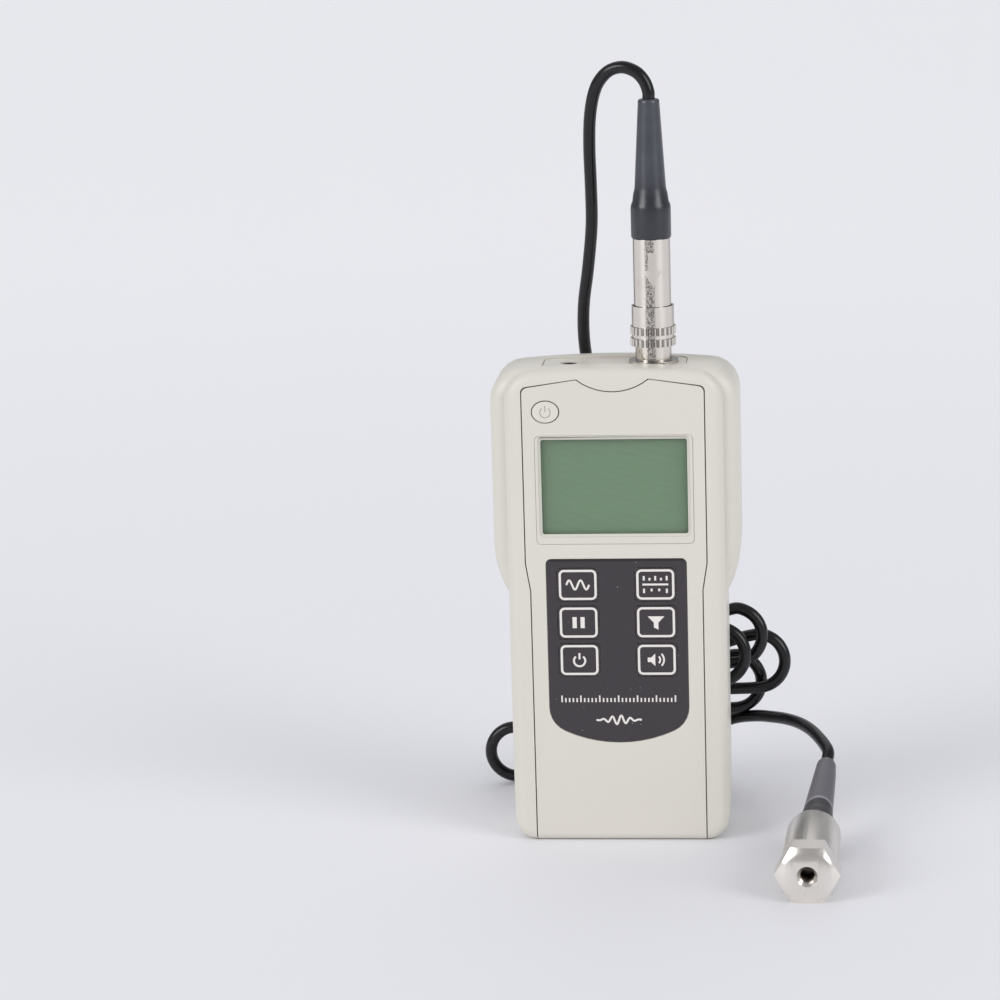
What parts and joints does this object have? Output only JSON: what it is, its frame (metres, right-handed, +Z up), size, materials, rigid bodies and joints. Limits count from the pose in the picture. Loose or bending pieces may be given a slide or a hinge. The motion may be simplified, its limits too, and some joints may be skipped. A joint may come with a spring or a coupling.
{
  "type": "handheld vibration meter",
  "caption": "Palm-size vibration meter: pale case with a green display, membrane keypad and top socket, and a hexagonal sensor on a wound black lead.",
  "frame": {"origin": "middle of the lower end of the case, on which the meter stands", "axes": "+Z up along the case, +Y from the display face to the back, +X to the right as seen from the front"},
  "size_m": [0.0997, 0.1083, 0.2058],
  "materials": {
    "shell": "satin",
    "bezel": "satin",
    "window": "clear",
    "lcd": "satin",
    "holder": "matte",
    "overlay": "gloss",
    "button": "satin",
    "dark_plastic": "matte",
    "pale_plastic": "matte",
    "board": "gloss",
    "steel": "bright",
    "cells": "printed sleeve",
    "nickel": "satin nickel plate",
    "stainless": "turned",
    "ceramic": "matte",
    "wires": "satin",
    "boots": "satin",
    "cord": "satin",
    "tie": "satin"
  },
  "bodies": {
    "meter": {"case_body": "shell", "front_panel": "shell", "connector_plate": "shell", "display_bezel": "bezel", "display_window": "window", "display_glass": "lcd", "display_holder": "holder", "keypad_overlay": "overlay", "power_switch": "dark_plastic", "board_chips": "dark_plastic", "jack_socket": "dark_plastic", "plug_insert": "dark_plastic", "socket_insert": "pale_plastic", "main_board": "board", "key_domes": "steel", "board_screws": "steel", "case_screws": "steel", "battery_contacts": "steel", "battery_springs": "steel", "collar_spring": "steel", "sensor_stud": "steel", "battery_cells": "cells", "sensor_socket": "nickel", "socket_nut": "nickel", "plug_barrel": "nickel", "sensor_housing": "stainless", "sensor_base": "stainless", "sensor_mass": "stainless", "sensor_crystal": "ceramic", "socket_wires": "wires", "plug_boot": "boots", "sensor_boot": "boots", "cord_upper": "cord", "cord_coil": "cord", "cord_lower": "cord", "coil_tie": "tie"},
    "battery_door": {"battery_door": "shell"},
    "plug_collar": {"plug_collar": "nickel"},
    "power_button": {"power_button": "button"},
    "key_function": {"key_function": "overlay"},
    "key_units": {"key_units": "overlay"},
    "key_hold": {"key_hold": "overlay"},
    "key_filter": {"key_filter": "overlay"},
    "key_power": {"key_power": "overlay"},
    "key_volume": {"key_volume": "overlay"}
  },
  "joints": [
    {"name": "key_function_press", "type": "slide", "parent": "meter", "child": "key_function", "axis": [0, 1, 0], "range_m": [0, 0.00035], "stiffness_N_per_m": 2000},
    {"name": "key_hold_press", "type": "slide", "parent": "meter", "child": "key_hold", "axis": [0, 1, 0], "range_m": [0, 0.00035], "stiffness_N_per_m": 2000},
    {"name": "key_power_press", "type": "slide", "parent": "meter", "child": "key_power", "axis": [0, 1, 0], "range_m": [0, 0.00035], "stiffness_N_per_m": 2000},
    {"name": "key_units_press", "type": "slide", "parent": "meter", "child": "key_units", "axis": [0, 1, 0], "range_m": [0, 0.00035], "stiffness_N_per_m": 2000},
    {"name": "key_filter_press", "type": "slide", "parent": "meter", "child": "key_filter", "axis": [0, 1, 0], "range_m": [0, 0.00035], "stiffness_N_per_m": 2000},
    {"name": "key_volume_press", "type": "slide", "parent": "meter", "child": "key_volume", "axis": [0, 1, 0], "range_m": [0, 0.00035], "stiffness_N_per_m": 2000},
    {"name": "power_button_press", "type": "slide", "parent": "meter", "child": "power_button", "axis": [0, 1, 0], "range_m": [0, 0.0005], "stiffness_N_per_m": 2000},
    {"name": "battery_door_slide", "type": "slide", "parent": "meter", "child": "battery_door", "axis": [0, 0, -1], "range_m": [0, 0.004]},
    {"name": "plug_collar_slide", "type": "slide", "parent": "meter", "child": "plug_collar", "axis": [0, 0, 1], "range_m": [0, 0.002], "stiffness_N_per_m": 1000, "springref_m": -0.0005, "deforming": ["collar_spring"]}
  ]
}
